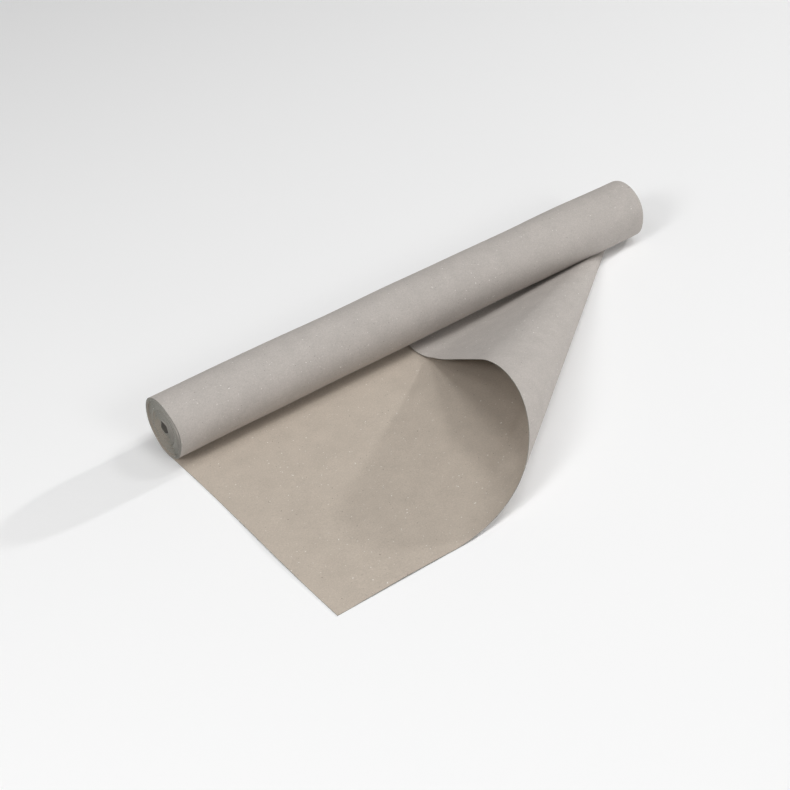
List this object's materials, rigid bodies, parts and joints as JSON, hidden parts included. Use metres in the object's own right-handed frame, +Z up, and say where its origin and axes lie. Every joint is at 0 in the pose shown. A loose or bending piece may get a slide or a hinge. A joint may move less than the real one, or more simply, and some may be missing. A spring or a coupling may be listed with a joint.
{
  "type": "roll of roofing felt",
  "caption": "Roll of plain grey-brown roofing felt lying on its side, with its tail rolled out flat and one corner folded back in a soft curl.",
  "frame": {"origin": "middle of the roll's bore", "axes": "+X along the bore towards the end with the folded corner, -Y from the roll towards the tail's front edge, +Z up"},
  "size_m": [1, 0.5249, 0.1238],
  "materials": {
    "felt": "matte, fibrous"
  },
  "bodies": {
    "root": {"felt_roll": "felt"}
  },
  "joints": []
}
